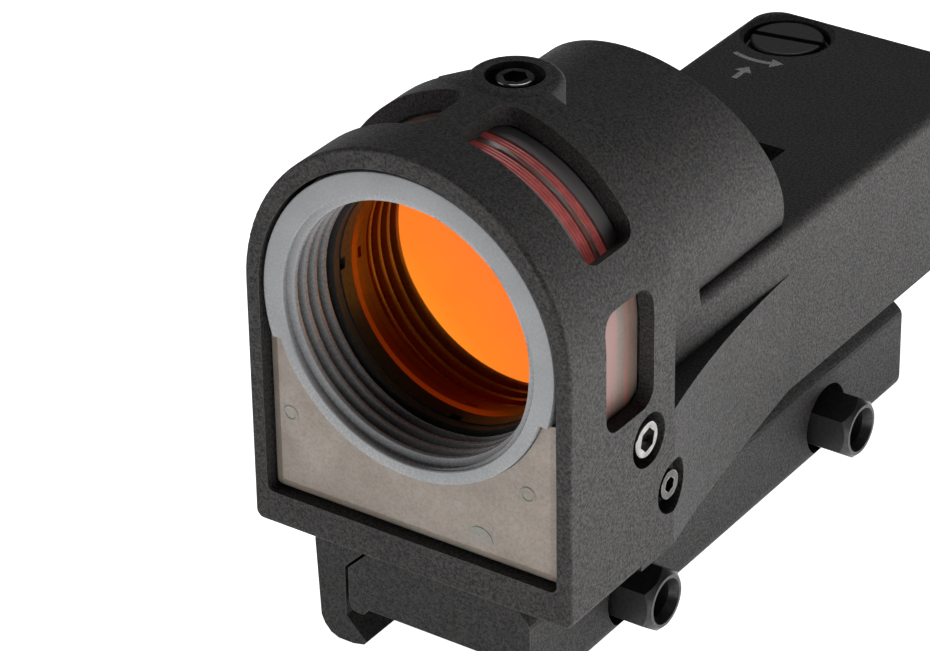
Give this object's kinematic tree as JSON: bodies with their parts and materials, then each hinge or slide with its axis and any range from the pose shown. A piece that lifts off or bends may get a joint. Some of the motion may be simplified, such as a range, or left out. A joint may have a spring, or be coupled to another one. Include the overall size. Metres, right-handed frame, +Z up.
{
  "type": "reflex sight",
  "caption": "Enclosed tube reflex weapon sight with a D-shaped light-gathering head, flat rear adjuster housing and a two-bolt accessory rail clamp.",
  "frame": {"origin": "centre of the flat rail seat under the mount", "axes": "+Z up; -Y towards the target (lens end); +X towards the clamp nuts"},
  "size_m": [0.048, 0.1168, 0.0753],
  "materials": {
    "coated_casting": "fine bead-blasted black coating",
    "coated_mount": "fine bead-blasted black coating",
    "black_steel": "black oxide, worn bright on edges",
    "screw_steel": "plain steel, dark in the socket",
    "worn_steel": "grey phosphate",
    "black_metal": "black anodised",
    "grey_ring": "satin grey moulding",
    "collector_plastic": "smoky translucent moulding",
    "red_fibre": "fluorescent red light-gathering fibre",
    "coated_glass": "orange mirror coating",
    "clear_glass": "polished",
    "lamp_glass": "self-luminous capsule",
    "black_rubber": "matt",
    "spring_steel": "bright",
    "brass_block": "machined"
  },
  "bodies": {
    "sight": {"housing": "coated_casting", "bottom_cover": "coated_casting", "cover_screws": "black_steel", "light_collector": "collector_plastic", "fibre_coil": "red_fibre", "fibre_lead": "red_fibre", "threaded_ring": "grey_ring", "ring_seal": "black_rubber", "lens_retainer": "black_metal", "lens_cell": "black_metal", "objective_lens": "coated_glass", "reflector_lens": "coated_glass", "head_screws": "screw_steel", "side_set_screws": "worn_steel", "adjuster_orings": "black_rubber", "click_balls": "spring_steel", "click_springs": "spring_steel", "guide_pins": "spring_steel", "carriage_spring": "spring_steel", "emitter_window": "clear_glass", "mount_base": "coated_mount", "mount_screws": "black_steel"},
    "elevation_adjuster": {"elevation_screw": "black_metal", "elevation_clip": "spring_steel"},
    "elevation_slide": {"elevation_carriage": "brass_block"},
    "windage_adjuster": {"windage_screw": "black_metal", "windage_clip": "spring_steel"},
    "windage_slide": {"windage_carriage": "brass_block", "reticle_holder": "black_metal", "reticle_disc": "clear_glass", "lamp_capsule": "lamp_glass"},
    "clamp": {"clamp_bar": "coated_mount", "cross_bolts": "black_steel"},
    "front_clamp_nut": {"front_nut": "black_steel"},
    "rear_clamp_nut": {"rear_nut": "black_steel"}
  },
  "joints": [
    {"name": "elevation_turn", "type": "hinge", "parent": "sight", "child": "elevation_adjuster", "pos_m": [-0.0107, 0.06, 0.0351], "axis": [0, 0, 1], "range_deg": [-541, 541]},
    {"name": "elevation_travel", "type": "slide", "parent": "sight", "child": "elevation_slide", "axis": [0, 0, 1], "range_m": [-0.00075, 0.00075], "deforming": ["carriage_spring"]},
    {"name": "windage_turn", "type": "hinge", "parent": "sight", "child": "windage_adjuster", "pos_m": [-0.017, 0.0515, 0.0242], "axis": [1, 0, 0], "range_deg": [-541, 541]},
    {"name": "windage_travel", "type": "slide", "parent": "elevation_slide", "child": "windage_slide", "axis": [1, 0, 0], "range_m": [-0.00075, 0.00075]},
    {"name": "front_nut_turn", "type": "hinge", "parent": "sight", "child": "front_clamp_nut", "pos_m": [0.017, -0.02395, -0.0004], "axis": [1, 0, 0], "range_deg": [0, 1801]},
    {"name": "rear_nut_turn", "type": "hinge", "parent": "sight", "child": "rear_clamp_nut", "pos_m": [0.017, 0.02609, -0.0004], "axis": [1, 0, 0], "range_deg": [0, 1801]},
    {"name": "clamp_travel", "type": "slide", "parent": "sight", "child": "clamp", "axis": [-1, 0, 0], "range_m": [0, 0.004]}
  ],
  "couplings": [
    {"joint": "elevation_turn", "follows": "elevation_travel", "rad_per_m": -12566},
    {"joint": "windage_turn", "follows": "windage_travel", "rad_per_m": -12566},
    {"joint": "front_nut_turn", "follows": "clamp_travel", "rad_per_m": 7854},
    {"joint": "rear_nut_turn", "follows": "clamp_travel", "rad_per_m": 7854}
  ]
}
